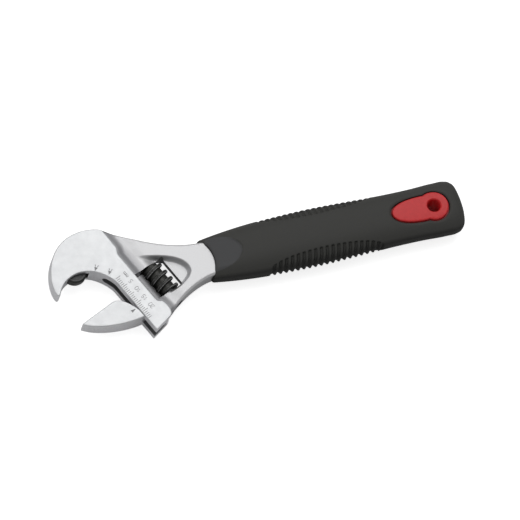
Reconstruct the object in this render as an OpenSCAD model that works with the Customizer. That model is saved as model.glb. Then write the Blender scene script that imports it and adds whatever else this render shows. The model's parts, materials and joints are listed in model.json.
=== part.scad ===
// Adjustable wrench, 200 mm: forged head with a sliding jaw, worm drive and a moulded grip.
// Frame: origin on the hanging hole's axis at mid-thickness, +X along the handle away from
// the head, +Y towards the hook's back, +Z out of one face.

/* [Head] */
// Angle between the handle and the square line of the jaws, degrees
head_angle = 22.5; // [21:0.5:24]
// Distance from the hanging hole to the beam's centre, along the handle
head_x = 148; // [147:0.5:149]
// How far the beam's centre lies below the handle's axis
head_drop = 10; // [9.5:0.5:10.5]
// Thickness of the head at the beam
head_t = 10.5; // [10.2:0.1:11]
// Thickness of both jaws at their tips
tip_t = 7; // [6.5:0.1:8]
// Width of the beam that guides the movable jaw
beam_w = 9.5; // [9.4:0.1:9.6]
// Thickness of the neck between head and grip
neck_t = 9.2; // [9:0.1:9.6]
// Thickness of the thin web around the worm window
web_t = 2.8; // [2:0.1:3.5]

/* [Movable jaw] */
// Gap between the jaw tips, as stored
opening = 17; // [1:0.5:23]
// Radius of the jaw's round shank
shank_r = 3.85; // [3.7:0.05:3.9]
// Distance of the shank's axis from the beam's centre, towards the worm
shank_x = 5.7; // [5.6:0.05:5.8]
// Thickness of the web that joins jaw and shank through the slot
rail_t = 4; // [3:0.1:4]
// Radial running clearance of the shank and side clearance of the web
slide_gap = 0.06; // [0.04:0.01:0.08]

/* [Worm] */
// Outer radius of the worm
worm_r = 5.7; // [5.5:0.1:5.8]
// Height of the worm's thread
thread_h = 1.7; // [1.5:0.1:1.8]
// Width of the thread's crest
crest_w = 1.5; // [1.3:0.1:1.6]
// Pitch of the worm's thread and of the rack
pitch = 4; // [4]
// Length of the worm
worm_len = 14.6; // [14:0.1:15]
// Distance of the worm's axis from the beam's centre
worm_x = 14.1; // [14:0.05:14.2]
// Radius of the pin that the worm turns on
pin_r = 1.6; // [1.4:0.1:1.8]

/* [Grip cam] */
// Radius of the cam in the hook's throat
cam_r = 5.7; // [5.4:0.1:5.8]
// Thickness of the cam
cam_t = 4.6; // [4:0.1:4.8]
// Radius of the cam's pin
cam_pin_r = 1.25; // [1:0.05:1.4]

/* [Handle] */
// Radius of the hanging hole
hang_r = 3.15; // [2.5:0.05:3.5]
// Thickness of the steel tang inside the grip
tang_t = 5.5; // [4.5:0.1:6]
// Thickness of the hard core around the tang
core_t = 9.6; // [9:0.1:10]
// Thickness across the two inlays of the core
inlay_t = 14.8; // [14.4:0.1:15]
// Width of the groove round each inlay
groove_w = 0.55; // [0.4:0.05:0.8]

/* [Hidden] */
$fn = 64;

half_beam = beam_w / 2;
// Square position of the movable jaw's face and of the hook's tip, along the beam
hook_tip_y = 20.7;
face_y = hook_tip_y - opening;
// The rack and the jaw move together, so the worm's thread is drawn in step with them
rack_step = (opening - 17) / pitch;
lead_angle = atan(pitch / (2 * PI * (worm_r - thread_h / 3)));
flank_slope = tan(15);
backlash = 0.2;
tip_x = -31.1;
bore_r = shank_r + slide_gap;
bore_end_y = 24.2;
slot_end_y = 14.4;
window_x = 21.5;
window_y = [-7.5, 8.3];
// Ends of the worm along its own axis, which points to the beam's open end
worm_ends = [-0.4 - worm_len / 2, -0.4 + worm_len / 2];
pin_hole_r = pin_r + 0.02;
pin_head_r = 2.3;
pin_head_len = 2.2;
pin_end_y = 13;
pin_out_y = -13.4;
pocket_c = [-15.55, 26.5];
pocket_r = 6.4;
pocket_t = 5;
cam_c = [-15.9, 26.5];
cam_axle = [-15.5, 27.7];
cam_step = [-14.8, 29.6];
cam_spring_y = 30.9;
cam_spring_x = [-21.4, cam_step[0] - 0.05];
hook_edge_t = tip_t + 1;
core_front_x = -107;
front_arc = [-124.5, -1.3];
front_arc_r = 16.3;

steel = [0.80, 0.81, 0.82];
black_steel = [0.13, 0.13, 0.13];
spring_steel = [0.62, 0.63, 0.65];
red = [0.74, 0.18, 0.18];
charcoal = [0.17, 0.17, 0.16];

// Points of a cubic curve through p[0] and p[3] with handles p[1] and p[2]
function curve(p, n = 12) = [for (i = [0:n]) let (s = i / n, r = 1 - s)
    r * r * r * p[0] + 3 * r * r * s * p[1] + 3 * r * s * s * p[2] + s * s * s * p[3]];

// Half thickness of the head and jaws at a distance x from the beam's centre
function half_t(x) = (head_t - (head_t - tip_t) * max(0, -half_beam - x) / (-half_beam - tip_x)) / 2;

// Moves children from the beam's own frame (x across it to the worm, y along it to the hook)
module on_head() translate([-head_x, -head_drop, 0]) rotate([0, 0, head_angle]) children();

// Lays children, which stand on z, along the beam with their tops towards its open end
module down_beam(x, y) translate([x, y, 0]) rotate([90, 0, 0]) children();

// Solid that thins the head and both jaws towards their tips
module taper() rotate([90, 0, 0]) linear_extrude(height = 140, center = true)
    polygon([[-36, half_t(-36)], [-half_beam, head_t / 2], [40, head_t / 2],
        [40, -head_t / 2], [-half_beam, -head_t / 2], [-36, -half_t(-36)]]);

module plate(t) linear_extrude(height = t, center = true) children();

// ---- Wrench body ----

// Hook, beam and the raised land of the forging, in the beam's frame
module head_outline() polygon(concat(
    [[-half_beam, -19.5]],
    curve([[-half_beam, 9], [-half_beam, 12.5], [-9, 24.85], [-20, 24.85]], 16),
    curve([[-20, 24.85], [-23.9, 24.85], [-26.8, 23.3], [-29.2, 21.15]], 8),
    [[-29.9, hook_tip_y], [-30.5, 20.9]],
    curve([[-30.85, 22], [-30.55, 28.3], [-22.1, 41.1], [-9.5, 41.1]], 18),
    curve([[-9.5, 41.1], [-4.5, 41.1], [2.5, 39], [6.5, 34.6]], 8),
    [[6.4, 22.8], [half_beam, 20], [half_beam, -7.4], [5.4, -8.7], [6.9, -9.3],
        [7.35, -12.3], [7.2, -14.5], [6.7, -16.2], [5.2, -17.6]]));

// Neck from the head to the grip, in the handle's frame
module neck_outline() polygon(concat(
    [[-150, -8], [-156, 25.7]],
    curve([[-155.5, 25.4], [-145, 19.5], [-131, 9], [-110, 8.5]], 14),
    [[-104, 7.6], [-104, -7.6]],
    curve([[-110, -8.6], [-121, -11.2], [-129, -16.6], [-137, -24.4]], 12)));

// Tang inside the grip, with an eye round the hanging hole
module tang_outline() {
    translate([-106, -7]) square([102, 14]);
    circle(r = 8);
}

// Scooped relief beside the window, on one face
module relief_outline() polygon(concat(
    [[-136, 0], [-133, 7]],
    curve([[-133, 7], [-128, 6], [-120.8, 2.5], [-120.8, -3]], 10),
    curve([[-120.8, -3], [-120.8, -6.5], [-123, -8.3], [-126, -9.2]], 8),
    [[-130, -8]]));

module window() translate([half_beam, window_y[0], -10])
    cube([window_x - half_beam, window_y[1] - window_y[0], 20]);

// Round bore for the shank and the slot that opens it to the mouth
module jaw_guide() {
    down_beam(shank_x, bore_end_y) cylinder(r = bore_r, h = 60);
    translate([-12, -30, -rail_t / 2 - slide_gap])
        cube([12 + shank_x, 30 + slot_end_y, rail_t + 2 * slide_gap]);
    translate([-12, slot_end_y, 0]) rotate([0, 90, 0])
        cylinder(r = rail_t / 2 + slide_gap, h = 12 + shank_x);
}

module worm_pin_hole() {
    down_beam(worm_x, pin_end_y) cylinder(r = pin_hole_r, h = 40);
    down_beam(worm_x, pin_out_y + pin_head_len) cylinder(r = pin_head_r + 0.02, h = 12);
}

// Round pocket in the hook for the cam, its blind pin hole and its spring seat
module cam_pocket() {
    translate([pocket_c[0], pocket_c[1], -pocket_t / 2]) cylinder(r = pocket_r, h = pocket_t);
    translate([cam_axle[0], cam_axle[1], -8]) cylinder(r = cam_pin_r + 0.01, h = 11.6);
    translate([cam_spring_x[0] - 0.1, cam_spring_y, 0]) rotate([0, 90, 0]) cylinder(r = 1.15, h = 4);
}

module wrench_body() color(steel) difference() {
    union() {
        on_head() intersection() {
            plate(head_t) head_outline();
            taper();
        }
        plate(neck_t) neck_outline();
        plate(tang_t) tang_outline();
    }
    on_head() {
        window();
        jaw_guide();
        worm_pin_hole();
        cam_pocket();
    }
    for (side = [0, 1]) mirror([0, 0, side]) translate([0, 0, web_t / 2])
        linear_extrude(height = 10) relief_outline();
    translate([0, 0, -10]) cylinder(r = 5.4, h = 20);
}

// ---- Movable jaw ----

module jaw_outline() translate([0, face_y - 3.7]) polygon(concat(
    [[-30.4, 3.7]],
    curve([[-12.6, 3.7], [-9.3, 3.7], [-6.3, -0.6], [-4.95, -6.8]], 12),
    curve([[-4.85, -10.8], [-15, -8.9], [-26, -2.9], [-30, 3]], 14)));

// One gap of the rack, slanted to the worm's lead
module rack_gap() translate([worm_x - worm_r - 0.35, 0, 0]) rotate([-lead_angle, 0, 0])
    linear_extrude(height = 14, center = true)
        let (w = crest_w / 2 + backlash, grow = flank_slope * 2.4)
            polygon([[0, -w], [2.4, -w - grow], [2.4, w + grow], [0, w]]);

module movable_jaw() color(steel) on_head() difference() {
    union() {
        intersection() {
            plate(head_t - 0.3) jaw_outline();
            taper();
        }
        translate([-6, face_y - 15.1, -rail_t / 2]) cube([6 + shank_x, 7.4, rail_t]);
        down_beam(shank_x, face_y + 3.3) cylinder(r = shank_r, h = 23);
    }
    for (i = [-2:4]) translate([0, -i * pitch + rack_step * pitch, 0]) rack_gap();
}

// ---- Worm ----

// Section square to the worm's axis, which sweeps a thread of even flanks as it turns
module thread_section(steps = 6) {
    crest = crest_w / pitch * 360;
    root = (crest_w + 2 * flank_slope * thread_h) / pitch * 360;
    polygon(concat(
        [for (i = [0:steps]) let (a = -crest / 2 + crest * i / steps) worm_r * [cos(a), sin(a)]],
        [for (i = [0:steps]) let (a = root / 2 + (360 - root) * i / steps)
            (worm_r - thread_h) * [cos(a), sin(a)]]));
}

// Turns a piece made on z into the worm's place, with +x towards the rack
module on_worm() on_head() translate([worm_x, 0, 0]) rotate([90, 0, 0]) rotate([0, 0, 180]) children();

// Right-handed; a crest faces the rack at the middle of the beam
module worm() color(black_steel) on_worm() difference() {
    translate([0, 0, worm_ends[0]])
        linear_extrude(height = worm_len, twist = -360 * worm_len / pitch, slices = 80,
            segments = 1, $fn = 0) rotate(worm_ends[0] * 360 / pitch) thread_section();
    translate([0, 0, -20]) cylinder(r = pin_r + 0.06, h = 40);
    translate([0, 0, worm_ends[1] - 3.2]) cylinder(r = 2.9, h = 10);
}

// ---- Pins and springs ----

module worm_pin() color(black_steel) on_head() difference() {
    union() {
        down_beam(worm_x, pin_end_y - 0.2) cylinder(r = pin_r, h = pin_end_y - 0.2 - pin_out_y - 1);
        down_beam(worm_x, pin_out_y + pin_head_len - 0.02) cylinder(r = pin_head_r, h = pin_head_len);
    }
    translate([worm_x - 5, pin_out_y - 1, -0.35]) cube([10, 1.9, 0.7]);
}

module cam_pin() color(steel) on_head()
    translate([cam_axle[0], cam_axle[1], -4.3]) cylinder(r = cam_pin_r, h = 7.8);

// Coil spring on z, from 0 to len, of round wire
module coil_spring(mean_r, wire_r, len, turns, steps = 14, sides = 6) {
    n = turns * steps;
    points = [for (i = [0:n], k = [0:sides - 1])
        let (a = 360 * i / steps, b = 360 * k / sides, r = mean_r + wire_r * cos(b))
        [r * cos(a), r * sin(a), wire_r + (len - 2 * wire_r) * i / n + wire_r * sin(b)]];
    skin = [for (i = [0:n - 1], k = [0:sides - 1])
        let (a = sides * i, m = (k + 1) % sides)
        each [[a + k, a + sides + k, a + m], [a + sides + k, a + sides + m, a + m]]];
    ends = [for (k = [1:sides - 2]) each [[0, k, k + 1],
        [sides * n, sides * n + k + 1, sides * n + k]]];
    polyhedron(points, concat(skin, ends));
}

module worm_spring() color(spring_steel) on_worm()
    translate([0, 0, worm_ends[1] - 3.15])
        coil_spring(2.3, 0.3, 3.15 - worm_ends[1] - window_y[0] - 0.05, 3);

module cam_spring() color(spring_steel) on_head()
    translate([cam_spring_x[0], cam_spring_y, 0]) rotate([0, 90, 0])
        coil_spring(0.8, 0.18, cam_spring_x[1] - cam_spring_x[0], 7);

// ---- Grip cam ----

module grip_cam() color(black_steel) on_head() difference() {
    translate([cam_c[0], cam_c[1], -cam_t / 2]) cylinder(r = cam_r, h = cam_t);
    translate([cam_axle[0], cam_axle[1], -5]) cylinder(r = cam_pin_r + 0.04, h = 10);
    translate([cam_step[0] - 12, cam_step[1], -5]) cube([12, 6, 10]);
}

// ---- Handle ----

// Leaf and ring of the inlay, grown outwards by g
module inlay_outline(g = 0) {
    leaf = curve([[-20.4 - g, 0], [-20.4 - g, 4.2 + g], [-13, 6.2 + g], [-4.4, 6 + g]], 10);
    circle(r = 6.9 + g);
    polygon(concat(leaf, [for (i = [len(leaf) - 1:-1:1]) [leaf[i][0], -leaf[i][1]]]));
}

// Inner shell of the grip, without its inlays
module core_body() plate(core_t) {
    translate([core_front_x, -8.8]) square([-core_front_x, 17.6]);
    circle(r = 10.4);
}

module grip_core() color(red) difference() {
    union() {
        core_body();
        plate(inlay_t) inlay_outline();
    }
    difference() {
        plate(tang_t) tang_outline();
        translate([0, 0, -5]) cylinder(r = 5.4, h = 10);
    }
    plate(neck_t) neck_outline();
    translate([0, 0, -12]) cylinder(r = hang_r, h = 24);
}

// Position, half width and half thickness of the grip along the handle
grip_form = [[-114, 9.9, 6.0], [-105, 11.2, 6.9], [-90, 12.7, 8.0], [-75, 13.4, 8.5],
    [-58, 13.7, 8.6], [-40, 13.2, 8.3], [-22, 12.5, 7.7], [-8, 12.5, 7.35], [4, 12.9, 7.3],
    [9, 12.7, 7.1], [11.6, 11.6, 6.5], [13.3, 9.2, 5.2], [14.1, 6, 3.4]];

// Superellipse section of the grip at one station
function grip_ring(s, n) = [for (i = [0:n - 1]) let (a = 360 * i / n, c = cos(a), d = sin(a))
    [s[0], s[1] * sign(c) * pow(abs(c), 0.78), s[2] * sign(d) * pow(abs(d), 0.78)]];

module grip_solid(n = 32) {
    rows = len(grip_form);
    points = [for (s = grip_form) each grip_ring(s, n)];
    skin = [for (i = [0:rows - 2], k = [0:n - 1]) let (a = n * i, m = (k + 1) % n)
        each [[a + k, a + m, a + n + k], [a + n + k, a + m, a + n + m]]];
    ends = [for (k = [1:n - 2]) each [[0, k + 1, k], [n * (rows - 1), n * (rows - 1) + k, n * (rows - 1) + k + 1]]];
    polyhedron(points, concat(skin, ends));
}

module grip_cover() color(charcoal) difference() {
    grip_solid();
    core_body();
    plate(40) inlay_outline(groove_w);
    plate(neck_t) neck_outline();
    translate([front_arc[0], front_arc[1], -20]) cylinder(r = front_arc_r, h = 40);
}

wrench_body();
movable_jaw();
worm();
worm_pin();
worm_spring();
grip_cam();
cam_pin();
cam_spring();
grip_core();
grip_cover();
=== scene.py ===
"""Looks for the adjustable wrench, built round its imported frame.

Shapes are worked out in millimetres, in the frame's own axes, and written to meshes in metres.
The head has its own axes: `v` runs across the beam towards the worm, `t` along it to the hook.
"""
import json
import math

import bmesh
import bpy
import numpy as np
from mathutils import Matrix, Vector
from mathutils.geometry import delaunay_2d_cdt


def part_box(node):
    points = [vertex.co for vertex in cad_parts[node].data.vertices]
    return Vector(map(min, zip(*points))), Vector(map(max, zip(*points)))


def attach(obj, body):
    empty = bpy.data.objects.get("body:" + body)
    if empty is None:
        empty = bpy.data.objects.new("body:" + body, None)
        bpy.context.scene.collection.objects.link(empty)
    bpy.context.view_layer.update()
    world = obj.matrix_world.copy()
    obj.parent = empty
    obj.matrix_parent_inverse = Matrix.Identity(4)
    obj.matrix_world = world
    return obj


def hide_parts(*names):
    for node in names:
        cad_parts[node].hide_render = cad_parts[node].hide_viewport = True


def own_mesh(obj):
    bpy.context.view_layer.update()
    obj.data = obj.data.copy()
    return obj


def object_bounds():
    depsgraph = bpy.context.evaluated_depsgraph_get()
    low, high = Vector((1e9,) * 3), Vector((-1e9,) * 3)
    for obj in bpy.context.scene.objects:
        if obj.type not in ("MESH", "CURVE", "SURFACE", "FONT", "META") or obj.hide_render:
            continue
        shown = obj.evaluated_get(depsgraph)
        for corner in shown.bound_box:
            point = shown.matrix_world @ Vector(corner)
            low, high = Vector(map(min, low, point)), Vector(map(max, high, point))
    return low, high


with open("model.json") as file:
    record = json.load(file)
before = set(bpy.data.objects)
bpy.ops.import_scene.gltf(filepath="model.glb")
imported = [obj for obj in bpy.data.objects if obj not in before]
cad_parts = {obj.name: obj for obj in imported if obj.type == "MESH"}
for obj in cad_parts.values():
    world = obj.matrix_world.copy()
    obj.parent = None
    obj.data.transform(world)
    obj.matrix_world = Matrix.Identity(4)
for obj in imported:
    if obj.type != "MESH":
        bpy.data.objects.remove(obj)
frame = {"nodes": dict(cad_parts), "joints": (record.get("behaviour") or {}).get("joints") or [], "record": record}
cad_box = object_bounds()

MM = 0.001
JOINTS = {joint["name"]: joint for joint in frame["joints"]}


def cad_mm(node):
    """Lowest and highest corner of a CAD node, in millimetres."""
    low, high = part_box(node)
    return np.array(low) / MM, np.array(high) / MM


def mount_mm(name, key):
    """One dimension of a mount of the record, in millimetres."""
    return next(m["dims"][key] for m in frame["record"]["mounts"] if m["name"] == name)


# ---- Sizes shared with the design, in millimetres ----
slide_axis = np.array(JOINTS["jaw_slide"]["axis"])
V_AXIS = np.array([-slide_axis[1], slide_axis[0], 0.0])
T_AXIS = -slide_axis
WORM_POINT = np.array(JOINTS["worm_turn"]["pos_m"]) / MM
CAM_POINT = np.array(JOINTS["cam_pivot"]["pos_m"]) / MM

HEAD_T = 10.5
TIP_T = 7.0
HALF_BEAM = 4.75
TIP_V = -31.1
HOOK_TIP_T = 20.7
FACE_T = 3.7
NECK_Z = 4.6
WEB_Z = 1.4
SHANK_V, SHANK_R = 5.7, 3.85
SLIDE_GAP = 0.06
RAIL_T = 4.0
SLOT_END_T = 14.4
BORE_END_T = 24.2
WORM_V = 14.1
WORM_R, THREAD_H, CREST_W, PITCH = 5.7, 1.7, 1.5, 4.0
WORM_T = (7.7, -6.9)
WINDOW_V = 21.5
WINDOW_T = (-7.5, 8.3)
PIN_R, PIN_HEAD_R, PIN_OUT_T = 1.6, 2.3, -13.4
CAM_C, CAM_R, CAM_T = (-15.9, 26.5), 5.7, 4.6
CAM_POCKET_C, CAM_POCKET_R, CAM_POCKET_T = (-15.55, 26.5), 6.4, 5.0
HANG_R = mount_mm("hang_hole", "r_mm")
INLAY_Z = mount_mm("hang_hole", "length_mm") / 2

# The beam's centre lies WORM_V short of the worm's axis, across the beam
HEAD_ORIGIN = WORM_POINT - WORM_V * V_AXIS


def on_head(points):
    """Points (v, t, z) in the head's axes as points of the frame."""
    points = np.asarray(points, float)
    return HEAD_ORIGIN + points[..., :1] * V_AXIS + points[..., 1:2] * T_AXIS + points[..., 2:] * [0, 0, 1]


def to_head(points):
    """Points (x, y) of the frame as v and t."""
    d = np.asarray(points, float)[..., :2] - HEAD_ORIGIN[:2]
    return d @ V_AXIS[:2], d @ T_AXIS[:2]


def cubic(p0, p1, p2, p3, n):
    """n + 1 points along a cubic curve."""
    s = np.linspace(0, 1, n + 1)[:, None]
    p0, p1, p2, p3 = (np.array(p, float) for p in (p0, p1, p2, p3))
    return (1 - s) ** 3 * p0 + 3 * (1 - s) ** 2 * s * p1 + 3 * (1 - s) * s ** 2 * p2 + s ** 3 * p3


def chain(*parts):
    """Curves and lists of points joined into one outline, with doubled points dropped."""
    points = np.vstack([np.asarray(p, float) for p in parts])
    keep = [i for i in range(len(points)) if np.linalg.norm(points[i] - points[i - 1]) > 1e-4]
    return points[keep]


def closed(outline):
    """The outline with its first point repeated at the end."""
    return np.vstack([outline, outline[:1]])


def smooth(x):
    """0 to 1 with flat ends, as x goes from 0 to 1."""
    x = np.clip(x, 0, 1)
    return x * x * (3 - 2 * x)


def distance_to(points, path):
    """Distance of each 2-D point from a path of straight steps."""
    best = np.full(points.shape[:-1], np.inf)
    for a, b in zip(path[:-1], path[1:]):
        ab = b - a
        s = np.clip(((points - a) @ ab) / max(ab @ ab, 1e-12), 0, 1)
        best = np.minimum(best, np.linalg.norm(points - a - s[..., None] * ab, axis=-1))
    return best


def inside(points, outline):
    """True for each 2-D point inside a closed outline."""
    result = np.zeros(points.shape[:-1], bool)
    x, y = points[..., 0], points[..., 1]
    for (ax, ay), (bx, by) in zip(outline, np.roll(outline, -1, axis=0)):
        crosses = (ay > y) != (by > y)
        with np.errstate(divide="ignore", invalid="ignore"):
            result ^= crosses & (x < (bx - ax) * (y - ay) / (by - ay) + ax)
    return result


# ---- Meshes ----

def new_piece(name, points, faces, materials, smooth_angle=35):
    """An object from points in millimetres."""
    mesh = bpy.data.meshes.new(name)
    mesh.from_pydata((np.asarray(points) * MM).tolist(), [], faces)
    for material in materials:
        mesh.materials.append(material)
    tidy_mesh(mesh, smooth_angle)
    piece = bpy.data.objects.new(name, mesh)
    bpy.context.scene.collection.objects.link(piece)
    return piece


def tidy_mesh(mesh, smooth_angle):
    """Outward normals, smooth shading and sharp edges where the surface turns hard."""
    bm = bmesh.new()
    bm.from_mesh(mesh)
    bmesh.ops.recalc_face_normals(bm, faces=bm.faces)
    bm.to_mesh(mesh)
    bm.free()
    mesh.shade_smooth()
    mesh.set_sharp_from_angle(angle=math.radians(smooth_angle))


def apply_modifiers(piece):
    """Turns a piece's modifiers into plain mesh."""
    bpy.context.view_layer.update()
    graph = bpy.context.evaluated_depsgraph_get()
    mesh = bpy.data.meshes.new_from_object(piece.evaluated_get(graph))
    piece.modifiers.clear()
    old, piece.data = piece.data, mesh
    bpy.data.meshes.remove(old)


def boolean(piece, cutter, operation="DIFFERENCE"):
    """Cuts, joins or keeps the overlap of two closed pieces, and uses the second one up."""
    change = piece.modifiers.new("change", "BOOLEAN")
    change.operation = operation
    change.solver = "MANIFOLD"
    change.material_mode = "TRANSFER"
    change.object = cutter
    apply_modifiers(piece)
    bpy.data.objects.remove(cutter)


def finish_edges(piece, smooth_angle=35):
    """Shades a cut piece: flat faces stay flat beside their rounded edges."""
    piece.data.shade_smooth()
    piece.data.set_sharp_from_angle(angle=math.radians(smooth_angle))
    weigh = piece.modifiers.new("weigh", "WEIGHTED_NORMAL")
    weigh.keep_sharp = True
    apply_modifiers(piece)


def prism(name, outline, z0, z1, materials=(), place=None):
    """A closed outline pulled along z, as a cutter or a plain web; `place` maps it to the frame."""
    count = len(outline)
    points = np.vstack([np.column_stack([outline, np.full(count, z)]) for z in (z0, z1)])
    faces = [list(range(count))[::-1], list(range(count, 2 * count))]
    faces += [[i, (i + 1) % count, count + (i + 1) % count, count + i] for i in range(count)]
    return new_piece(name, place(points) if place else points, faces, materials)


def subdivide(outline, longest):
    """The outline with its long steps split into even short ones."""
    parts = []
    for a, b in zip(outline, np.roll(outline, -1, axis=0)):
        count = max(1, math.ceil(np.linalg.norm(b - a) / longest))
        parts.append(a + (b - a) * np.arange(count)[:, None] / count)
    return np.vstack(parts)


def inset(outline, depth):
    """The outline moved inwards, and which of its points stay clear of the other sides."""
    before, after = outline - np.roll(outline, 1, axis=0), np.roll(outline, -1, axis=0) - outline
    n0, n1 = (np.column_stack([-d[:, 1], d[:, 0]]) / np.linalg.norm(d, axis=1)[:, None]
              for d in (before, after))
    normal = n0 + n1
    normal /= np.maximum(np.sum(normal * n0, axis=1), 0.4)[:, None]
    x, y = outline.T
    ccw = np.sum(x * np.roll(y, -1) - y * np.roll(x, -1)) > 0
    moved = outline + normal * depth * (1 if ccw else -1)
    return moved, distance_to(moved, closed(outline)) > 0.98 * depth


def plate(name, outline, half_thickness, rim, materials, place=None, pitch=1.6):
    """A solid with two faces alike, rims rounded by `rim` and a straight side wall.

    `half_thickness` gives each 2-D point its height.
    """
    outline = subdivide(outline, 0.9)
    loose = [outline]
    borders = [(i, (i + 1) % len(outline)) for i in range(len(outline))]
    for angle in np.linspace(0, math.pi / 2, 6)[1:]:
        ring, free = inset(outline, rim * (1 - math.cos(angle)))
        start, number = sum(map(len, loose)), np.cumsum(free) - 1
        borders += [(start + number[i], start + number[j])
                    for i, j in borders[:len(outline)] if free[i] and free[j]]
        loose.append(ring[free])
    low, high = outline.min(axis=0), outline.max(axis=0)
    lines = (np.arange(a, b, pitch) for a, b in zip(low, high))
    grid = np.stack(np.meshgrid(*lines), axis=-1).reshape(-1, 2)
    grid = grid[inside(grid, outline)]
    loose.append(grid[distance_to(grid, closed(outline)) > rim + 0.3 * pitch])
    flat, _, triangles, *_ = delaunay_2d_cdt(
        [Vector(p) for p in np.vstack(loose)], borders, [], 1, 1e-4)
    used = sorted({i for t in triangles for i in t})
    number = {old: new for new, old in enumerate(used)}
    triangles = [[number[i] for i in t] for t in triangles]
    flat = np.array([flat[i] for i in used])
    depth = distance_to(flat, closed(outline))
    rounding = rim * (1 - np.sqrt(np.clip(1 - np.clip(1 - depth / rim, 0, 1) ** 2, 0, 1)))
    height = half_thickness(flat) - rounding
    count = len(flat)
    steps_of = [(t[i], t[(i + 1) % 3]) for t in triangles for i in range(3)]
    lone = set(steps_of) - {(b, a) for a, b in steps_of}
    points = np.vstack([np.column_stack([flat, height]), np.column_stack([flat, -height])])
    walls = [[a, a + count, b + count, b] for a, b in lone]
    faces = triangles + [[i + count for i in t][::-1] for t in triangles] + walls
    piece = new_piece(name, place(points) if place else points, faces, materials)
    for polygon in piece.data.polygons[2 * len(triangles):]:
        polygon.material_index = len(materials) - 1
    return piece


def rod(name, start, end, radius, sides=64, materials=()):
    """A plain round bar between two points of the frame, as a cutter or a hidden core."""
    start, end = np.array(start, float), np.array(end, float)
    axis = (end - start) / np.linalg.norm(end - start)
    across = np.cross(axis, [0, 0, 1] if abs(axis[2]) < 0.9 else [1, 0, 0])
    across /= np.linalg.norm(across)
    other = np.cross(axis, across)
    a = np.linspace(0, 2 * math.pi, sides, endpoint=False)[:, None]
    ring = radius * (np.cos(a) * across + np.sin(a) * other)
    faces = [[i, (i + 1) % sides, sides + (i + 1) % sides, sides + i] for i in range(sides)]
    faces += [list(range(sides))[::-1], list(range(sides, 2 * sides))]
    return new_piece(name, np.vstack([start + ring, end + ring]), faces, materials)


def lathe(name, profile, place, materials, sides=96):
    """A solid turned from (radius, height) points round its own z, then placed in the frame."""
    profile = np.array(profile, float)
    a = np.linspace(0, 2 * math.pi, sides, endpoint=False)
    rings = [np.column_stack([r * np.cos(a), r * np.sin(a), np.full(sides, z)]) for r, z in profile]
    rows = len(rings)
    faces = [[k * sides + i, k * sides + (i + 1) % sides, (k + 1) * sides + (i + 1) % sides,
              (k + 1) * sides + i] for k in range(rows - 1) for i in range(sides)]
    faces += [list(range(sides))[::-1], list(range((rows - 1) * sides, rows * sides))]
    return new_piece(name, place(np.vstack(rings)), faces, materials, 25)


def loft(rings, wrap_rows=False):
    """Points and faces of a closed tube of rings, with flat caps unless its rows join up."""
    rings = np.asarray(rings)
    rows, sides = rings.shape[:2]
    last = rows if wrap_rows else rows - 1
    faces = [[k * sides + i, k * sides + (i + 1) % sides, (k + 1) % rows * sides + (i + 1) % sides,
              (k + 1) % rows * sides + i] for k in range(last) for i in range(sides)]
    if not wrap_rows:
        faces += [list(range(sides))[::-1], list(range((rows - 1) * sides, rows * sides))]
    return rings.reshape(-1, 3), faces


# ---- Materials ----

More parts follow.
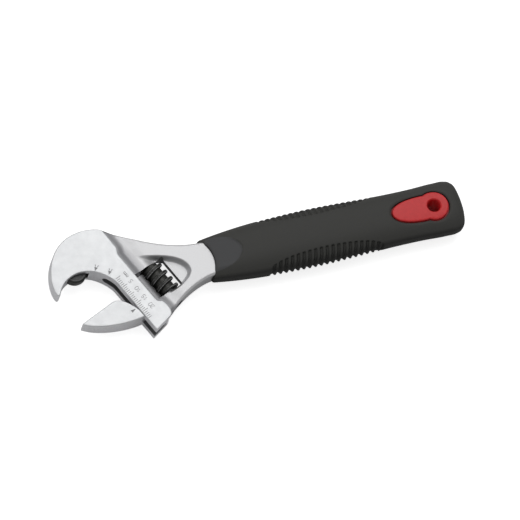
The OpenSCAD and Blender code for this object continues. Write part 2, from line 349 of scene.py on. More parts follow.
class Look:
    """A Principled material with helpers for the nodes that give it its surface."""

    def __init__(self, name, colour, roughness, metallic=0.0):
        self.material = bpy.data.materials.new(name)
        self.material.use_nodes = True
        self.nodes = self.material.node_tree.nodes
        self.links = self.material.node_tree.links
        self.shader = self.nodes["Principled BSDF"]
        self.shader.inputs["Base Color"].default_value = (*colour, 1)
        self.shader.inputs["Roughness"].default_value = roughness
        self.shader.inputs["Metallic"].default_value = metallic
        self.place = self.nodes.new("ShaderNodeTexCoord").outputs["Object"]

    def set(self, **values):
        """Sets the shader's inputs by name, with _ for each space."""
        for key, value in values.items():
            self.shader.inputs[key.replace("_", " ")].default_value = value
        return self

    def noise(self, per_mm, detail=3.0, stretch=None, roughness=0.55):
        """Noise with `per_mm` features to the millimetre, stretched if asked."""
        source = self.place
        if stretch:
            mapping = self.nodes.new("ShaderNodeMapping")
            mapping.inputs["Scale"].default_value = stretch
            self.links.new(source, mapping.inputs["Vector"])
            source = mapping.outputs["Vector"]
        node = self.nodes.new("ShaderNodeTexNoise")
        node.inputs["Scale"].default_value = per_mm / MM
        node.inputs["Detail"].default_value = detail
        node.inputs["Roughness"].default_value = roughness
        self.links.new(source, node.inputs["Vector"])
        return node.outputs["Fac"]

    def spread(self, value, low, high, start=0.3, end=0.7):
        """The value's middle range mapped to low..high."""
        node = self.nodes.new("ShaderNodeMapRange")
        for key, number in zip(("From Min", "From Max", "To Min", "To Max"), (start, end, low, high)):
            node.inputs[key].default_value = number
        self.links.new(value, node.inputs["Value"])
        return node.outputs["Result"]

    def across_head(self, start_v, end_v):
        """0 to 1 between two distances across the beam, in the head's own axes."""
        across = self.nodes.new("ShaderNodeVectorMath")
        across.operation = "DOT_PRODUCT"
        across.inputs[1].default_value = V_AXIS
        self.links.new(self.place, across.inputs[0])
        middle = float(HEAD_ORIGIN @ V_AXIS)
        return self.spread(across.outputs["Value"], 0, 1, (middle + start_v) * MM, (middle + end_v) * MM)

    def flatness(self):
        """How squarely a surface faces up or down: 0 on a side wall, 1 on a flat face."""
        apart = self.nodes.new("ShaderNodeSeparateXYZ")
        size = self.nodes.new("ShaderNodeMath")
        size.operation = "ABSOLUTE"
        self.links.new(self.place.node.outputs["Normal"], apart.inputs["Vector"])
        self.links.new(apart.outputs["Z"], size.inputs[0])
        return size.outputs["Value"]

    def times(self, first, second):
        """The product of two values."""
        node = self.nodes.new("ShaderNodeMath")
        node.operation = "MULTIPLY"
        self.links.new(first, node.inputs[0])
        self.links.new(second, node.inputs[1])
        return node.outputs["Value"]

    def tint(self, value, low, high):
        """Base colour from low to high as the value goes from 0.3 to 0.7."""
        ramp = self.nodes.new("ShaderNodeValToRGB")
        ramp.color_ramp.elements[0].position, ramp.color_ramp.elements[1].position = 0.3, 0.7
        ramp.color_ramp.elements[0].color, ramp.color_ramp.elements[1].color = (*low, 1), (*high, 1)
        self.links.new(value, ramp.inputs["Fac"])
        self.links.new(ramp.outputs["Color"], self.shader.inputs["Base Color"])
        return self

    def rough(self, value, low, high):
        """Roughness from low to high."""
        self.links.new(self.spread(value, low, high), self.shader.inputs["Roughness"])
        return self

    def bump(self, value, height_mm, previous=None):
        """Raises the surface by a height in millimetres, on top of an earlier bump if given."""
        node = self.nodes.new("ShaderNodeBump")
        node.inputs["Strength"].default_value = 1.0
        node.inputs["Distance"].default_value = height_mm * MM
        self.links.new(value, node.inputs["Height"])
        if previous:
            self.links.new(previous, node.inputs["Normal"])
        self.links.new(node.outputs["Normal"], self.shader.inputs["Normal"])
        return node.outputs["Normal"]


def land_steel():
    """The smooth raised faces of the head and the jaw, lightly clouded."""
    look = Look("steel_land", (0.80, 0.81, 0.82), 0.42, 0.9)
    look.tint(look.noise(0.25, 4), (0.73, 0.74, 0.75), (0.81, 0.82, 0.83))
    look.rough(look.noise(3, 4), 0.38, 0.5)
    look.bump(look.noise(9, 2), 0.004)
    return look.material


def neck_steel():
    """The neck. Its colour darkens beside the land and on slopes: painted shade."""
    look = Look("steel_neck", (0.74, 0.74, 0.76), 0.5, 0.9)
    shade = look.times(look.across_head(4.5, 14.5), look.spread(look.flatness(), 0.45, 1, 0.3, 0.95))
    look.tint(shade, (0.40, 0.40, 0.415), (0.79, 0.79, 0.80))
    look.rough(look.noise(2, 4), 0.45, 0.58)
    look.bump(look.noise(5, 3), 0.012)
    return look.material


def side_steel():
    """Side walls, and the surfaces that slide."""
    look = Look("steel_side", (0.46, 0.46, 0.48), 0.45, 0.9)
    look.tint(look.noise(1.2, 4), (0.76, 0.76, 0.78), (0.88, 0.88, 0.90))
    look.bump(look.noise(4, 3), 0.01)
    return look.material


def cut_steel():
    """Steel inside cut openings, darker as painted shade, with fine tool marks."""
    look = Look("steel_cut", (0.30, 0.30, 0.31), 0.4, 0.8)
    look.tint(look.noise(2, 3), (0.24, 0.24, 0.25), (0.36, 0.36, 0.37))
    look.bump(look.noise(1.5, 3, (1, 12, 1)), 0.01)
    return look.material


def engraved_steel():
    """The floor of the engraved marks."""
    look = Look("steel_engraved", (0.36, 0.36, 0.37), 0.6, 0.4)
    look.bump(look.noise(8, 2), 0.01)
    return look.material


def black_oxide():
    """The worm and its pin."""
    look = Look("black_oxide", (0.02, 0.02, 0.02), 0.34, 0.7)
    look.tint(look.noise(1.5, 4), (0.03, 0.03, 0.028), (0.07, 0.07, 0.066))
    look.rough(look.noise(4, 3), 0.28, 0.42)
    look.bump(look.noise(7, 2), 0.006)
    return look.material


def cam_steel():
    """The cam's faces, inside its black rim."""
    look = Look("cam_steel", (0.10, 0.10, 0.10), 0.4, 0.8)
    look.tint(look.noise(2, 3), (0.05, 0.05, 0.05), (0.10, 0.10, 0.10))
    look.bump(look.noise(6, 2), 0.005)
    return look.material


def painted_highlight_oxide():
    """Painted highlight on the chamfered edges of the worm's crests."""
    look = Look("painted_highlight_oxide", (0.4, 0.4, 0.4), 0.3, 0.9)
    look.tint(look.noise(1.5, 4), (0.16, 0.16, 0.16), (0.62, 0.62, 0.62))
    return look.material


def spring_wire():
    """The bright wire of both springs."""
    look = Look("spring_wire", (0.5, 0.5, 0.52), 0.3, 1.0)
    look.rough(look.noise(4, 2), 0.25, 0.4)
    return look.material


def soft_skin(name, pale, dark=(0.008, 0.008, 0.007)):
    """The soft cover: pale on broad faces, darker on slopes as painted shade."""
    look = Look("soft_" + name, pale, 0.6).set(Specular_IOR_Level=0.35)
    look.tint(look.spread(look.flatness(), 0, 1, 0.1, 0.95), dark, pale)
    look.rough(look.noise(3, 3), 0.52, 0.64)
    look.bump(look.noise(6, 3), 0.02)
    return look.material


def red_plastic():
    """The hard core, where it shows at the handle's end."""
    look = Look("red_plastic", (0.55, 0.05, 0.055), 0.42)
    look.tint(look.noise(0.6, 3), (0.70, 0.026, 0.03), (0.78, 0.034, 0.038))
    look.rough(look.noise(4, 3), 0.36, 0.46)
    look.bump(look.noise(7, 2), 0.008)
    return look.material


MAT = {
    "land": land_steel(),
    "neck": neck_steel(),
    "side": side_steel(),
    "cut": cut_steel(),
    "engraved": engraved_steel(),
    "black": black_oxide(),
    "cam": cam_steel(),
    "painted_highlight": painted_highlight_oxide(),
    "wire": spring_wire(),
    "grip": soft_skin("grip", (0.054, 0.054, 0.050)),
    "thumb_rest": soft_skin("thumb_rest", (0.076, 0.077, 0.080)),
    "red": red_plastic(),
}


# ---- Head ----

# Half height of a cutter that goes right through, and a place past the beam's open end
THROUGH_Z, PAST_HEAD_T = 12.0, -40.0


def half_t(v):
    """Half thickness of the head and jaws at v."""
    return (HEAD_T - (HEAD_T - TIP_T) * np.maximum(0, -HALF_BEAM - v) / (-HALF_BEAM - TIP_V)) / 2


def head_outline():
    """Edge of the raised land: up the mouth, round the hook and down the beam's back."""
    return chain(
        [[-HALF_BEAM, -19.5]],
        cubic((-HALF_BEAM, 9.0), (-HALF_BEAM, 12.5), (-9.0, 24.85), (-20, 24.85), 36),
        cubic((-20, 24.85), (-23.9, 24.85), (-26.8, 23.3), (-29.2, 21.15), 16),
        cubic((-29.2, 21.15), (-29.6, 20.75), (-30.0, 20.65), (-30.35, 20.8), 4),
        cubic((-30.35, 20.8), (-30.73, 21.0), (-30.83, 21.4), (-30.83, 22.0), 4),
        cubic((-30.83, 22.0), (-30.53, 28.3), (-22.1, 41.06), (-9.5, 41.06), 40),
        cubic((-9.5, 41.06), (-4.5, 41.06), (2.5, 39.0), (6.5, 34.6), 18),
        [[6.4, 24.4]],
        cubic((6.4, 24.4), (6.4, 22.6), (HALF_BEAM, 21.8), (HALF_BEAM, 20), 6),
        [[HALF_BEAM, -6.6]],
        cubic((HALF_BEAM, -6.6), (HALF_BEAM, -8.2), (5.4, -8.9), (6.6, -9.2), 5),
        cubic((6.6, -9.2), (7.3, -10.6), (7.5, -13.4), (7.1, -15.2), 6),
        cubic((7.1, -15.2), (6.7, -16.6), (6.2, -17.3), (4.8, -17.75), 5))


# Strokes of each character, in units that GLYPH_MM scales
GLYPHS = {
    "0": [chain(cubic((0.5, 0), (-0.17, 0), (-0.17, 1.6), (0.5, 1.6), 8),
                cubic((0.5, 1.6), (1.17, 1.6), (1.17, 0), (0.5, 0), 8))],
    "1": [[(0.15, 1.15), (0.55, 1.6), (0.55, 0)]],
    "2": [chain(cubic((0.05, 1.15), (0.1, 1.75), (0.95, 1.75), (0.92, 1.1), 6),
                [(0.02, 0), (1, 0)])],
    "5": [chain([(0.9, 1.6), (0.2, 1.6), (0.1, 0.9)],
                cubic((0.15, 0.9), (1.25, 1.3), (1.2, -0.2), (0.05, 0.05), 8))],
    "m": [[(0, 0), (0, 1)], chain(cubic((0, 0.7), (0.1, 1.1), (0.5, 1.1), (0.5, 0.65), 4), [(0.5, 0)]),
          chain(cubic((0.5, 0.7), (0.6, 1.1), (1, 1.1), (1, 0.65), 4), [(1, 0)])],
}
GLYPH_MM, GLYPH_STEP, GLYPH_BASE_V, GLYPH_STROKE = 1.3, 1.42, 1.95, 0.22


def stroke(path, width):
    """Outline of a line of even width along a path of points."""
    path = np.array(path, float)
    step = np.diff(path, axis=0)
    step /= np.linalg.norm(step, axis=1)[:, None]
    along = np.vstack([step[:1], step[:-1] + step[1:], step[-1:]])
    along /= np.linalg.norm(along, axis=1)[:, None]
    side = np.column_stack([-along[:, 1], along[:, 0]]) * width / 2
    return np.vstack([path + side, (path - side)[::-1]])


def engrave(piece, outlines, depth=0.16):
    """Sinks small flat-bottomed marks into the upper face."""
    for i, outline in enumerate(outlines):
        floor_z = half_t(np.mean(outline, axis=0)[0]) - depth
        boolean(piece, prism(f"mark_{i}", outline, floor_z, HEAD_T, [MAT["engraved"]], on_head))


SCALE_LONGEST = 24
SCALE_TEXTS = [(1, "mm"), (5, "5"), (10, "10"), (15, "15"), (20, "20")]
TICK_START_V, TICK_SHORT, TICK_LONG, TICK_WIDTH = -HALF_BEAM + 0.55, 1.9, 2.9, 0.27
POINTER_T = -5.4
ZERO_T = POINTER_T + (HOOK_TIP_T - FACE_T)


def scale_outlines():
    """Millimetre ticks down the beam's mouth edge, with the numbers read from the worm's side."""
    outlines = []
    for i in range(SCALE_LONGEST + 1):
        end_v = TICK_START_V + (TICK_SHORT if i % 5 else TICK_LONG)
        outlines.append(stroke([(TICK_START_V, ZERO_T - i), (end_v, ZERO_T - i)], TICK_WIDTH))
    for i, text in SCALE_TEXTS:
        for k, glyph in enumerate(text):
            t = ZERO_T - i + GLYPH_STEP * (k - len(text) / 2) + 0.1
            for path in GLYPHS[glyph]:
                x, y = np.array(path).T * GLYPH_MM
                outlines.append(stroke(np.column_stack([GLYPH_BASE_V - y, t + x]), GLYPH_STROKE))
    return outlines


DART_TIPS = np.array([[-9.4, 20.4], [-5.4, 15.1]])
DART_BACK, DART_SIDE = np.array([0.83, 0.56]), np.array([-0.56, 0.83])


def dart_outlines():
    """Two feathered darts that point into the mouth."""
    outlines = []
    for tip in DART_TIPS:
        barbs, feather_start, feather_end = (tip + DART_BACK * far for far in (2.0, 2.25, 3.2))
        outlines.append([tip, barbs - DART_SIDE * 0.85, barbs + DART_SIDE * 0.85])
        for way in (-1, 1):
            feather = [feather_start + DART_SIDE * 0.35 * way, feather_end + DART_SIDE * 0.8 * way]
            outlines.append(stroke(feather, 0.32))
    return outlines


VALLEY_DEPTH, VALLEY_W = 1.1, 4.0
RISE, RISE_START, RISE_W = 1.0, 3.6, 8.0
RELIEF_START_V, RELIEF_FADE_V, RELIEF_EDGE = 11.0, 7.5, 1.8
NECK_ROLL = 1.3


def relief_outline():
    """Edge of the thumb relief round the worm window, in the head's axes."""
    return chain([[9, 17.3]], cubic((16.5, 12.1), (22.9, 8.0), (28.9, 3.0), (28.9, -2.6), 24),
                 cubic((28.9, -2.6), (28.9, -6.2), (26, -8.0), (18.7, -8.9), 16), [[9, -9]])


def neck_height(plan, edge_distance):
    """Height of the neck's face above the middle plane at points (x, y) of the frame."""
    v, t = to_head(plan)
    points = np.stack([v, t], axis=-1)
    land, relief = head_outline(), relief_outline()
    # A shallow valley runs along the land
    beside = np.where(inside(points, land), 0, distance_to(points, closed(land)))
    face = NECK_Z - VALLEY_DEPTH * smooth(beside / VALLEY_W) + RISE * smooth((beside - RISE_START) / RISE_W)
    depth = np.where(inside(points, relief), distance_to(points, closed(relief)), 0)
    fade = smooth(depth / RELIEF_EDGE) * smooth((v - RELIEF_START_V) / RELIEF_FADE_V)
    face = face + (WEB_Z - face) * fade
    fall = np.clip(edge_distance / NECK_ROLL, 0, 1)
    return face - NECK_ROLL * (1 - np.sqrt(1 - (1 - fall) ** 2))


def neck_edges():
    """Upper and lower edge of the neck: a curve each, then a straight stretch under the grip."""
    along, hidden = 200, 30
    top = np.vstack([cubic((-157, 25.85), (-145, 19.4), (-131, 8.8), (-112, 8.3), along),
                     np.linspace((-111.8, 8.24), (-99, 7.6), hidden)])
    low = np.vstack([cubic((-139.5, -26.2), (-130, -17.2), (-121, -11.2), (-112, -9.2), along),
                     np.linspace((-111.8, -9.15), (-99, -7.6), hidden)])
    return top, low


def neck_solid(rows=170):
    """The forged neck: shaped faces, rounded edges and a smooth side wall."""
    top, low = neck_edges()
    # Rows lie closer together towards the edges
    even = np.linspace(0, 1, rows)
    across = 0.5 * (0.5 - 0.5 * np.cos(math.pi * even)) + 0.5 * even
    plan = low[:, None, :] + (top - low)[:, None, :] * across[None, :, None]
    z = neck_height(plan, np.minimum(distance_to(plan, top), distance_to(plan, low)))
    face = np.concatenate([plan, z[..., None]], axis=-1)
    points, faces = loft(np.concatenate([face, (face * [1, 1, -1])[:, ::-1]], axis=1))
    return new_piece("neck", points, faces, [MAT["neck"]], 50)


def jaw_guide_cutters():
    """The round bore for the jaw's shank, and the slot beside it for the jaw's web."""
    half = RAIL_T / 2 + SLIDE_GAP
    bore = rod("bore", on_head([SHANK_V, BORE_END_T, 0]), on_head([SHANK_V, PAST_HEAD_T, 0]),
               SHANK_R + SLIDE_GAP, 96, [MAT["side"]])
    a = np.linspace(0, math.pi, 25)
    arch = np.column_stack([half * np.cos(a), SLOT_END_T + half * np.sin(a)])
    section = chain([[-half, PAST_HEAD_T], [half, PAST_HEAD_T]], arch)
    slot = prism("slot", section, -THROUGH_Z, SHANK_V, [MAT["cut"]],
                 place=lambda p: on_head(np.column_stack([p[:, 2], p[:, 1], p[:, 0]])))
    return bore, slot


def window_cutter(r=1.0):
    """The worm window, with its far corners rounded."""
    v0, v1, (t0, t1) = HALF_BEAM, WINDOW_V, WINDOW_T
    a = np.linspace(0, math.pi / 2, 7)

    def corner(t, turn):
        return np.column_stack([v1 - r + r * np.cos(a + turn), t + r * np.sin(a + turn)])[::-1]

    outline = chain([[v0, t0], [v0, t1]], corner(t1 - r, 0), corner(t0 + r, -math.pi / 2))
    return prism("window", outline, -THROUGH_Z, THROUGH_Z, [MAT["cut"]], place=on_head)


PIN_END_T, PIN_HEAD_LONG, PIN_MOUTH_T = 13, 2.2, -30
PIN_FIT, PIN_HEAD_FIT, PIN_RUN_GAP = 0.02, 0.05, 0.06
CAM_PIN_WAY_R, CAM_PIN_TOP_Z, CAM_THROUGH_Z = 1.27, 3.6, 9


def pin_cutters():
    """The worm pin's way and its mouth, the cam's pocket and the cam pin's way."""
    cut = [MAT["cut"]]
    yield rod("pin_way", on_head([WORM_V, PIN_END_T, 0]), on_head([WORM_V, PAST_HEAD_T, 0]),
              PIN_R + PIN_FIT, 48, cut)
    yield rod("pin_mouth", on_head([WORM_V, PIN_OUT_T + PIN_HEAD_LONG, 0]),
              on_head([WORM_V, PIN_MOUTH_T, 0]), PIN_HEAD_R + PIN_HEAD_FIT, 48, cut)
    yield rod("cam_pocket", on_head([*CAM_POCKET_C, -CAM_POCKET_T / 2]),
              on_head([*CAM_POCKET_C, CAM_POCKET_T / 2]), CAM_POCKET_R, 96, cut)
    yield rod("cam_pin_way", [*CAM_POINT[:2], -CAM_THROUGH_Z], [*CAM_POINT[:2], CAM_PIN_TOP_Z],
              CAM_PIN_WAY_R, 48, cut)


def build_wrench_body():
    """The forging: land and neck in one, with every opening cut."""
    body = plate("land", head_outline(), lambda p: half_t(p[:, 0]), 0.5, [MAT["land"], MAT["side"]], on_head)
    engrave(body, scale_outlines() + dart_outlines())
    boolean(body, neck_solid(), "UNION")
    boolean(body, window_cutter())
    for cutter in jaw_guide_cutters():
        boolean(body, cutter)
    for cutter in pin_cutters():
        boolean(body, cutter)
    body.name = "forged_body"
    finish_edges(body)
    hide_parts("wrench_body")
    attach(body, "wrench")


# ---- Movable jaw ----

# The jaw is a little thinner than the head
JAW_HALF_T = HEAD_T / 2 - 0.15
WEB_START_V, WEB_T = -6, (-10.8, -4)
SHANK_TOP_T, SHANK_LONG, SHANK_CHAMFER = 7, 23, 0.45
FLANK = math.tan(math.radians(15))
RACK_DEEPER, RACK_TALLER, RACK_WIDER = 0.35, 2.05, 0.2


def jaw_outline():
    """The leaf-shaped jaw: tip, gripping face, shoulder and back."""
    return chain(
        cubic((-30.45, 2.9), (-30.65, 3.4), (-30.6, FACE_T), (-29.9, FACE_T), 4),
        cubic((-12.6, FACE_T), (-9.3, FACE_T), (-6.3, -0.6), (-4.95, -6.8), 20),
        cubic((-4.85, -10.8), (-15, -8.9), (-26, -2.9), (-30.1, 2.6), 36))


def rack_gap_cutters():
    """Slanted trapezoids, one for each gap of the rack."""
    lead = math.atan(PITCH / (2 * math.pi * (WORM_R - THREAD_H / 3)))
    floor_v, top_v = WORM_V - WORM_R - RACK_DEEPER, WORM_V - WORM_R + RACK_TALLER
    floor_w = CREST_W / 2 + RACK_WIDER
    top_w = floor_w + FLANK * (top_v - floor_v)
    for i in range(-2, 5):
        t = -i * PITCH
        outline = [(floor_v, t - floor_w), (top_v, t - top_w), (top_v, t + top_w), (floor_v, t + floor_w)]
        yield prism(f"gap_{i + 2}", outline, -7, 7, [MAT["cut"]], lambda p: on_head(
            np.column_stack([p[:, 0], p[:, 1] + math.tan(lead) * p[:, 2], p[:, 2]])))


def jaw_shank():
    """The round shank, with the rack cut in it."""
    r, c = SHANK_R, SHANK_CHAMFER
    profile = [(r - c, 0), (r, c), (r, SHANK_LONG - c), (r - c, SHANK_LONG)]
    shank = lathe("shank", profile, lambda p: on_head(
        np.column_stack([SHANK_V + p[:, 0], SHANK_TOP_T - p[:, 2], p[:, 1]])), [MAT["cut"]])
    for cutter in rack_gap_cutters():
        boolean(shank, cutter)
    return shank


def build_movable_jaw():
    """The jaw, its web and its shank in one."""
    jaw = plate("jaw", jaw_outline(), lambda p: np.minimum(JAW_HALF_T, half_t(p[:, 0])), 0.45,
                [MAT["land"], MAT["side"]], on_head)
    engrave(jaw, [[(-6.1, POINTER_T), (-8.5, POINTER_T - 0.75), (-8.5, POINTER_T + 0.75)]], 0.3)
    (v0, v1), (t0, t1) = (WEB_START_V, SHANK_V), WEB_T
    web = prism("web", [(v0, t0), (v1, t0), (v1, t1), (v0, t1)], -RAIL_T / 2, RAIL_T / 2,
                [MAT["side"]], place=on_head)
    boolean(jaw, web, "UNION")
    boolean(jaw, jaw_shank(), "UNION")
    jaw.name = "lower_jaw"
    finish_edges(jaw)
    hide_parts("movable_jaw")
    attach(jaw, "jaw")


# ---- Worm ----

CREST_CHAMFER, END_CHAMFER = 0.3, 0.45
SPRING_ROOM_R, SPRING_ROOM_LONG = 2.9, 3.2


def worm_radius(z, angle):
    """Radius of the threaded surface: chamfered crests over a round root."""
    phase = (z / PITCH - angle / (2 * math.pi) + 0.5) % 1 - 0.5
    off = np.abs(phase) * PITCH - CREST_W / 2
    chamfer = np.maximum(0, CREST_CHAMFER + off) * 0.9
    depth = np.where(off < 0, chamfer, CREST_CHAMFER * 0.9 + off / FLANK)
    return WORM_R - np.minimum(depth, THREAD_H)


def worm_place(points):
    """From the worm's own axes, z towards the beam's open end and x towards the rack."""
    return on_head(np.column_stack([WORM_V - points[:, 0], -points[:, 2], -points[:, 1]]))


def build_worm(rows=300, sides=144):
    """The threaded worm, with its bore and the spring's room in one end."""
    z0, z1 = -WORM_T[0], -WORM_T[1]
    angle = np.linspace(0, 2 * math.pi, sides, endpoint=False)
    z, turn = np.meshgrid(np.linspace(z0, z1, rows), angle, indexing="ij")
    room = np.minimum(z - z0, z1 - z)
    r = np.minimum(worm_radius(z, turn), WORM_R - np.maximum(0, END_CHAMFER - room))
    outer = np.stack([r * np.cos(turn), r * np.sin(turn), z], axis=-1)

    def ring(radius, height):
        return np.stack([radius * np.cos(angle), radius * np.sin(angle), np.full(sides, height)], axis=-1)

    bore_r, step_z = PIN_R + PIN_RUN_GAP, z1 - SPRING_ROOM_LONG
    inner = [ring(SPRING_ROOM_R, z1), ring(SPRING_ROOM_R, step_z), ring(bore_r, step_z), ring(bore_r, z0)]
    points, faces = loft(np.concatenate([outer, np.array(inner)]), wrap_rows=True)
    worm = new_piece("threaded_worm", worm_place(points), faces, [MAT["black"], MAT["painted_highlight"]], 40)
    # The chamfers beside the crests carry a painted highlight
    corner_r = np.hypot(points[:, 0], points[:, 1])
    for face in worm.data.polygons:
        r = corner_r[list(face.vertices)].mean()
        face.material_index = int(WORM_R - 0.9 * CREST_CHAMFER < r < WORM_R - 0.02)
    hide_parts("worm")
    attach(worm, "worm")


# ---- Springs, cam and pins ----

WORM_SPRING_LONG, WORM_SPRING_DEEP = 3.7, 3.15
CAM_SPRING_V, CAM_SPRING_T, CAM_SPRING_KEEP = (-21.4, -14.85), 30.9, 0.6
CAM_BORE_R, CAM_CHAMFER, CAM_RIM = 1.29, 0.55, 0.75
CAM_STEP = [(-27, 29.6), (-14.8, 29.6), (-14.8, 36), (-27, 36)]


def coil(name, mean_r, wire_r, length, turns, place):
    """A round-wire spring standing on z = 0."""
    steps, sides = turns * 40, 14
    s = np.linspace(0, 1, steps + 1)[:, None]
    a = 2 * math.pi * turns * s
    b = np.linspace(0, 2 * math.pi, sides, endpoint=False)[None, :]
    r = mean_r + wire_r * np.cos(b)
    z = wire_r + (length - 2 * wire_r) * s + wire_r * np.sin(b)
    rings = np.stack([r * np.cos(a), r * np.sin(a), z + 0 * a], axis=-1)
    points, faces = loft(rings)
    return new_piece(name, place(points), faces, [MAT["wire"]], 60)


def build_worm_spring():
    """The small spring in the worm's end."""
    spring = coil("worm_spring_coil", 2.3, 0.29, WORM_SPRING_LONG, 3,
                  lambda p: worm_place(p + [0, 0, -WORM_T[1] - WORM_SPRING_DEEP]))
    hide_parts("worm_spring")
    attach(spring, "wrench")


def build_cam_spring():
    """The spring behind the cam."""
    low, high = CAM_SPRING_V
    spring = coil("cam_spring_coil", 0.8, 0.17, high - low, 7, lambda p: on_head(
        np.column_stack([low + p[:, 2], CAM_SPRING_T + p[:, 0], p[:, 1]])))
    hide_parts("cam_spring")
    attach(spring, "wrench")
    seat = on_head([low, CAM_SPRING_T, 0]) * MM
    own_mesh(spring)


def build_cam():
    """The round insert in the hook's throat, with a black rim round its faces."""
    c, half = CAM_CHAMFER, CAM_T / 2
    profile = [(CAM_R - 1.5, -half), (CAM_R - c, -half), (CAM_R - 0.1, -half + c), (CAM_R, -half + c + 0.15),
               (CAM_R, half - c - 0.15), (CAM_R - 0.1, half - c), (CAM_R - c, half), (CAM_R - 1.5, half),
               (CAM_R - 1.7, half - 0.12), (CAM_R - 2.0, half - 0.12)]
    cam = lathe("cam_disc", profile, lambda p: on_head(p + [*CAM_C, 0]), [MAT["cam"], MAT["black"]])
    bore_ends = [[*CAM_POINT[:2], z] for z in (-CAM_THROUGH_Z, CAM_THROUGH_Z)]
    boolean(cam, rod("cam_bore", *bore_ends, CAM_BORE_R, 48))
    boolean(cam, prism("cam_step", CAM_STEP, -CAM_THROUGH_Z, CAM_THROUGH_Z, place=on_head))
    finish_edges(cam, 25)
    middle = Vector(on_head([*CAM_C, 0])) * MM
    for face in cam.data.polygons:
        face.material_index = int((face.center - middle).xy.length > (CAM_R - CAM_RIM) * MM)
    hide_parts("grip_cam")
    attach(cam, "cam")


def colour_pins():
    """The two pins stay as the CAD has them, with materials of their own."""
    for node, look in (("worm_pin", "black"), ("cam_pin", "side")):
        for slot in frame["nodes"][node].material_slots:
            slot.material = MAT[look]


# ---- Handle ----

# Station along the handle, half width and half thickness there
GRIP_FORM = np.array([[-114, 9.9, 6.0], [-105, 11.2, 6.9], [-90, 12.7, 8.0], [-75, 13.4, 8.5],
                      [-58, 13.7, 8.6], [-40, 13.2, 8.3], [-22, 12.5, 7.7], [-8, 12.5, 7.35],
                      [4, 12.9, 7.3], [9, 12.7, 7.1], [11.6, 11.6, 6.5], [13.3, 9.2, 5.2], [14.1, 6, 3.4]])
GRIP_END, GRIP_LIP, ROUNDNESS = 14.1, 1.2, 0.78
FRONT_ARC, FRONT_R, FRONT_HALF = (-124.5, -1.3), 16.3, 11.5
CORE_T = 9.6
RIB_PITCH, RIB_FROM, RIB_TO, RIB_DEPTH = 2.85, -84.0, -27.0, 1.1
REST_MIDDLE, REST_HALF, REST_DEPTH = (-109, 0.5), (15.5, 9), 0.75
GROOVE_DEPTH, GROOVE_W, GROOVE_OUT = 0.8, 0.75, 0.3


def catmull(xs, ys, x):
    """Smooth curve through points, evaluated at x."""
    slopes = np.gradient(ys, xs)
    i = np.clip(np.searchsorted(xs, x) - 1, 0, len(xs) - 2)
    h = xs[i + 1] - xs[i]
    s = (x - xs[i]) / h
    return ((2 * s ** 3 - 3 * s ** 2 + 1) * ys[i] + (s ** 3 - 2 * s ** 2 + s) * h * slopes[i]
            + (3 * s ** 2 - 2 * s ** 3) * ys[i + 1] + (s ** 3 - s ** 2) * h * slopes[i + 1])


def inlay_outline(grow=0.0, n=40):
    """Leaf and ring round the hanging hole, grown outwards."""
    leaf = cubic((-20.4 - grow, 0), (-20.4 - grow, 4.2 + grow), (-13, 6.2 + grow), (-4.4, 6 + grow), n)
    r = 6.9 + grow
    # The leaf's edge runs into the ring where their curves meet
    leaf = leaf[np.hypot(leaf[:, 0], leaf[:, 1]) > r]
    start = math.atan2(leaf[-1][1], leaf[-1][0])
    a = np.linspace(start, -start, 2 * n + 1)
    ring = np.column_stack([r * np.cos(a), r * np.sin(a)])
    return chain(leaf, ring[1:-1], (leaf * [1, -1])[::-1][:-1])


def rib_depth(x, y, z):
    """Depth of the finger ribs: slanted grooves in a long lens on each edge of the grip."""
    middle, half = (RIB_FROM + RIB_TO) / 2, (RIB_TO - RIB_FROM) / 2
    lens = np.clip(1 - ((x - middle) / half) ** 2, 0, 1)
    inner_y = 13.0 - 4.9 * np.sqrt(lens)
    fade = smooth(lens / 0.08) * smooth((np.abs(y) - inner_y) / 0.7)
    wave = 0.5 - 0.5 * np.cos(2 * math.pi * (x - 0.22 * np.abs(z) - RIB_FROM) / RIB_PITCH)
    return RIB_DEPTH * fade * wave ** 1.3


def in_thumb_rest(x, y):
    """Above 0 inside the oval of the thumb rest, up to 1 in its middle."""
    return 1 - np.hypot((x - REST_MIDDLE[0]) / REST_HALF[0], (y - REST_MIDDLE[1]) / REST_HALF[1])


def grip_surface(x, angle):
    """Point of the grip's plain form at a station and an angle round it."""
    half_w, half_h = (np.minimum(catmull(GRIP_FORM[:, 0], form, x), form.max()) for form in GRIP_FORM.T[1:])
    c, s = np.cos(angle), np.sin(angle)
    y = half_w * np.sign(c) * np.abs(c) ** ROUNDNESS
    z = half_h * np.sign(s) * np.abs(s) ** ROUNDNESS
    # A flat thumb rest behind the neck, on each face
    rest = half_h - REST_DEPTH * smooth(in_thumb_rest(x, y) / 0.12)
    return y, np.clip(z, -rest, rest)


def grip_stations(angle, columns=420):
    """The form's points, in rows from the curved front edge to the end."""
    s = np.linspace(0, 1, columns)
    # A few close rows round the front lip
    s = np.concatenate([[0, 0.0012, 0.0024, 0.0036, 0.005], s[3:]])
    x = np.full((len(s), angle.shape[-1]), -60.0)
    # The front's place depends on y and y on the place, so it is found in a few rounds
    for _ in range(3):
        y = grip_surface(x, angle)[0]
        off = np.clip(y, -FRONT_HALF, FRONT_HALF) - FRONT_ARC[1]
        front = FRONT_ARC[0] + np.sqrt(FRONT_R ** 2 - off ** 2)
        x = front + (GRIP_END - front) * s[:, None]
    return x, *grip_surface(x, angle)


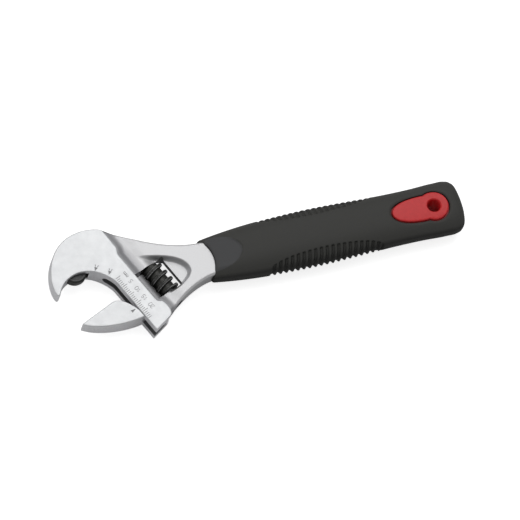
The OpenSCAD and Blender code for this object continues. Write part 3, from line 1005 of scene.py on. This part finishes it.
def grip_sink(x, y, z):
    """How far the skin lies under the plain form: front lip, finger ribs and the inlay's groove."""
    from_front = np.hypot(x - FRONT_ARC[0], y - FRONT_ARC[1]) - FRONT_R
    lip = GRIP_LIP * (1 - np.sqrt(1 - np.clip(1 - from_front / GRIP_LIP, 0, 1) ** 2)) * 0.8
    gap = distance_to(np.stack([x, y], axis=-1), closed(inlay_outline(GROOVE_OUT)))
    near = (np.abs(x + 5) < 24) & (np.abs(z) > 3)
    groove = np.where(near, GROOVE_DEPTH * np.exp(-(gap / GROOVE_W) ** 2), 0)
    return lip + rib_depth(x, y, z) + groove


def with_caps(skin):
    """The skin's rows with a tucked-in front and a domed end."""
    front = [skin[0] * [1, 0.45, 0.45] + [6, 0, 0], skin[0] * [1, 0.72, 0.6]]
    end = [skin[-1] * [1, keep, keep] + [out, 0, 0] for keep, out in ((0.8, 0.28), (0.5, 0.5), (0.2, 0.6))]
    return np.concatenate([front, skin, end])


def build_grip(sides=208):
    """The soft cover, with the way for the inlay cut and the thumb rests in their own shade."""
    angle = np.linspace(0, 2 * math.pi, sides, endpoint=False) + math.pi / sides
    x, y, z = grip_stations(angle)
    sink = grip_sink(x, y, z)
    out_y, out_z = np.cos(angle), np.sin(angle) * 1.5
    size = np.hypot(out_y, out_z)
    rings = with_caps(np.stack([x, y - sink * out_y / size, z - sink * out_z / size], axis=-1))
    rings[..., 0] = np.minimum(rings[..., 0], cad_mm("grip_cover")[1][0])
    points, faces = loft(rings)
    grip = new_piece("soft_cover", points, faces, [MAT["grip"], MAT["thumb_rest"]], 60)
    boolean(grip, prism("inlay_way", inlay_outline(0.62), -THROUGH_Z, THROUGH_Z, [MAT["grip"]]))
    centres = np.empty(3 * len(grip.data.polygons))
    grip.data.polygons.foreach_get("center", centres)
    x, y, z = centres.reshape(-1, 3).T / MM
    on_rest = (in_thumb_rest(x, y) > 0.06) & (np.abs(z) > CORE_T / 2)
    grip.data.polygons.foreach_set("material_index", on_rest.astype(np.int32))
    grip.data.shade_smooth()
    grip.data.set_sharp_from_angle(angle=math.radians(60))
    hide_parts("grip_cover")
    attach(grip, "wrench")


HANG_FLARE, FLARE_DEPTH, GROOVE_FLOOR_DEPTH = 0.5, 0.6, 2.4


def build_inlay():
    """The red core where it shows: an inlay on each face, joined by the hanging hole's tube."""
    core = plate("inlay", inlay_outline(), lambda p: INLAY_Z - 0.012 * (p[:, 1] ** 2), 0.6,
                 [MAT["red"]], pitch=0.9)
    wide, flare_z, floor_z = HANG_R + HANG_FLARE, INLAY_Z - FLARE_DEPTH, INLAY_Z - GROOVE_FLOOR_DEPTH
    profile = [(wide, -THROUGH_Z), (wide, -INLAY_Z), (HANG_R, -flare_z), (HANG_R, flare_z),
               (wide, INLAY_Z), (wide, THROUGH_Z)]
    boolean(core, lathe("hang_hole", profile, lambda p: p, [MAT["red"]]))
    bottom = prism("groove_floor", inlay_outline(1.1), -floor_z, floor_z, [MAT["red"]])
    boolean(bottom, rod("hang_hole", [0, 0, -THROUGH_Z], [0, 0, THROUGH_Z], wide, 96, [MAT["red"]]))
    boolean(core, bottom, "UNION")
    core.name = "red_core"
    finish_edges(core)
    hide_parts("grip_core")
    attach(core, "wrench")


# ---- Stage ----

TILT, ROLL, YAW = math.radians(26), math.radians(22.2), math.radians(37.6)
CAMERA_MM = 9000.0
VIEW_WIDTH_MM = 240.2
# The view's centre: this far before the handle's end, and its place across
AIM_BEFORE_END, AIM_Y = 100.09, -5.1


def build_camera():
    """A long lens, tipped back from straight above and rolled, as the object was seen."""
    p = Vector((math.cos(YAW), -math.sin(YAW), 0))
    d = Vector((math.sin(YAW), math.cos(YAW), 0))
    lean = math.cos(TILT) * d + math.sin(TILT) * Vector((0, 0, 1))
    right = math.cos(ROLL) * p + math.sin(ROLL) * lean
    up = math.cos(ROLL) * lean - math.sin(ROLL) * p
    back = math.cos(TILT) * Vector((0, 0, 1)) - math.sin(TILT) * d
    target = Vector((cad_box[1][0] / MM - AIM_BEFORE_END, AIM_Y, 0))
    data = bpy.data.cameras.new("camera")
    data.sensor_width = 36.0
    data.lens = data.sensor_width * CAMERA_MM / VIEW_WIDTH_MM
    data.clip_end = 30.0
    camera = bpy.data.objects.new("camera", data)
    camera.matrix_world = (Matrix.Translation((target + back * CAMERA_MM) * MM)
                           @ Matrix((right, up, back)).transposed().to_4x4())
    bpy.context.scene.collection.objects.link(camera)
    bpy.context.scene.camera = camera


def area_light(name, place, aim, size, power):
    """A round soft box, in metres and watts, turned to face a point."""
    data = bpy.data.lights.new(name, "AREA")
    data.shape = "DISK"
    data.size = size
    data.energy = power
    light = bpy.data.objects.new(name, data)
    light.location = place
    light.rotation_euler = (Vector(place) - Vector(aim)).to_track_quat("Z", "Y").to_euler()
    bpy.context.scene.collection.objects.link(light)


def build_stage():
    """A white table under a big soft box, which stands past the far side of the object."""
    floor_z = cad_box[0][2] / MM - 0.2
    points = [(x * 3000.0, y * 3000.0, floor_z) for x, y in ((-1, -1), (1, -1), (1, 1), (-1, 1))]
    look = Look("pale_floor", (0.9, 0.9, 0.9), 0.8)
    look.set(Emission_Color=(1, 1, 1, 1))
    # The table glows for the picture only, so that it lights nothing from below
    seen = look.nodes.new("ShaderNodeLightPath").outputs["Is Camera Ray"]
    look.links.new(look.spread(seen, 0, 0.75, 0, 1), look.shader.inputs["Emission Strength"])
    floor = new_piece("floor", points, [[0, 1, 2, 3]], [look.material])
    middle = (-0.09, 0, 0)
    area_light("key", (0.18, 0.62, 1.3), middle, 1.5, 6.5)
    area_light("left", (-1.1, 0.35, 0.9), middle, 0.8, 1.8)
    world = bpy.data.worlds.new("studio")
    world.use_nodes = True
    world.node_tree.nodes["Background"].inputs["Color"].default_value = (1, 1, 1, 1)
    world.node_tree.nodes["Background"].inputs["Strength"].default_value = 0.32
    bpy.context.scene.world = world
    bpy.context.scene.view_settings.view_transform = "Standard"


build_camera()
build_stage()
build_wrench_body()
build_movable_jaw()
build_worm()
build_worm_spring()
build_cam_spring()
build_cam()
colour_pins()
build_grip()
build_inlay()
